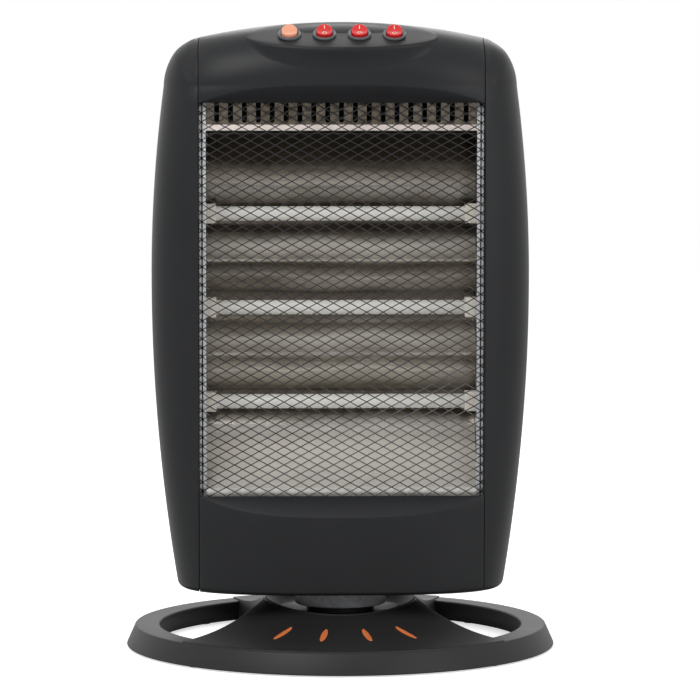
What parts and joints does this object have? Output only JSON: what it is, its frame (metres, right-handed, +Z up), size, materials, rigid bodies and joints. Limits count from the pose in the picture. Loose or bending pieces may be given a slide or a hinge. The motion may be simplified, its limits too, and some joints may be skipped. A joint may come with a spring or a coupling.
{
  "type": "halogen heater",
  "caption": "Free-standing halogen room heater: quartz tubes in a polished reflector behind a diamond wire guard, rocker switches on top, body swinging on a ring base.",
  "frame": {"origin": "on the floor, under the vertical axis that the body swings about, at the centre of the round base", "axes": "+Z up, the heating face looks along -Y, +X to the right of someone facing the heater"},
  "size_m": [0.33, 0.33, 0.478],
  "materials": {
    "housing": "satin moulded",
    "collar": "grained moulded",
    "guard": "satin enamel",
    "reflector": "polished",
    "plated_steel": "zinc plated",
    "quartz": "frosted",
    "ceramic": "fired ceramic, unglazed",
    "filament": "drawn",
    "switch_black": "satin moulded",
    "rocker_salmon": "glossy moulded",
    "rocker_red": "glossy moulded",
    "inlay": "satin moulded",
    "rubber": "matte",
    "nylon": "natural moulded"
  },
  "bodies": {
    "base": {"base_shell": "housing", "base_underplate": "housing", "foot_pad_1": "rubber", "foot_pad_2": "rubber", "foot_pad_3": "rubber", "foot_pad_4": "rubber", "base_inlay_1": "inlay", "base_inlay_2": "inlay", "base_inlay_3": "inlay", "base_inlay_4": "inlay", "cord_gland": "rubber", "thrust_ring": "nylon", "swivel_motor": "plated_steel", "tip_switch": "switch_black"},
    "heater_body": {"turntable_collar": "collar", "swivel_arm": "plated_steel", "front_top_cover": "housing", "front_bottom_cover": "housing", "side_cover_left": "housing", "side_cover_right": "housing", "rear_cover": "housing", "chassis_plate_left": "plated_steel", "chassis_plate_right": "plated_steel", "reflector": "reflector", "vent_strip": "plated_steel", "guard_grille": "guard", "quartz_tube_1": "quartz", "filament_1": "filament", "tube_cap_left_1": "ceramic", "tube_cap_right_1": "ceramic", "quartz_tube_2": "quartz", "filament_2": "filament", "tube_cap_left_2": "ceramic", "tube_cap_right_2": "ceramic", "quartz_tube_3": "quartz", "filament_3": "filament", "tube_cap_left_3": "ceramic", "tube_cap_right_3": "ceramic", "switch_body_1": "switch_black", "switch_body_2": "switch_black", "switch_body_3": "switch_black", "switch_body_4": "switch_black", "thermal_cutout": "plated_steel", "terminal_block": "nylon"},
    "crank": {"motor_crank": "nylon"},
    "plunger": {"tip_plunger": "nylon"},
    "rocker_1": {"switch_rocker_1": "rocker_salmon"},
    "rocker_2": {"switch_rocker_2": "rocker_red"},
    "rocker_3": {"switch_rocker_3": "rocker_red"},
    "rocker_4": {"switch_rocker_4": "rocker_red"}
  },
  "joints": [
    {"name": "body_swing", "type": "hinge", "parent": "base", "child": "heater_body", "pos_m": [0, 0, 0.03], "axis": [0, 0, 1], "range_deg": [-32, 32]},
    {"name": "crank_turn", "type": "hinge", "parent": "base", "child": "crank", "pos_m": [0, 0.038, 0.0185], "axis": [0, 0, 1], "range_deg": [-90, 90]},
    {"name": "tip_plunge", "type": "slide", "parent": "base", "child": "plunger", "axis": [0, 0, -1], "range_m": [0, 0.004], "stiffness_N_per_m": 40, "springref_m": 0.008},
    {"name": "rocker_1_press", "type": "hinge", "parent": "heater_body", "child": "rocker_1", "pos_m": [-0.0393, -0.05246, 0.46794], "axis": [-1, 0, 0], "range_deg": [0, 28]},
    {"name": "rocker_2_press", "type": "hinge", "parent": "heater_body", "child": "rocker_2", "pos_m": [-0.0131, -0.0539, 0.46808], "axis": [-1, 0, 0], "range_deg": [0, 28]},
    {"name": "rocker_3_press", "type": "hinge", "parent": "heater_body", "child": "rocker_3", "pos_m": [0.0131, -0.0539, 0.46808], "axis": [-1, 0, 0], "range_deg": [0, 28]},
    {"name": "rocker_4_press", "type": "hinge", "parent": "heater_body", "child": "rocker_4", "pos_m": [0.0393, -0.05246, 0.46794], "axis": [-1, 0, 0], "range_deg": [0, 28]}
  ],
  "couplings": [
    {"joint": "crank_turn", "follows": "body_swing", "ratio": 2.7885}
  ]
}
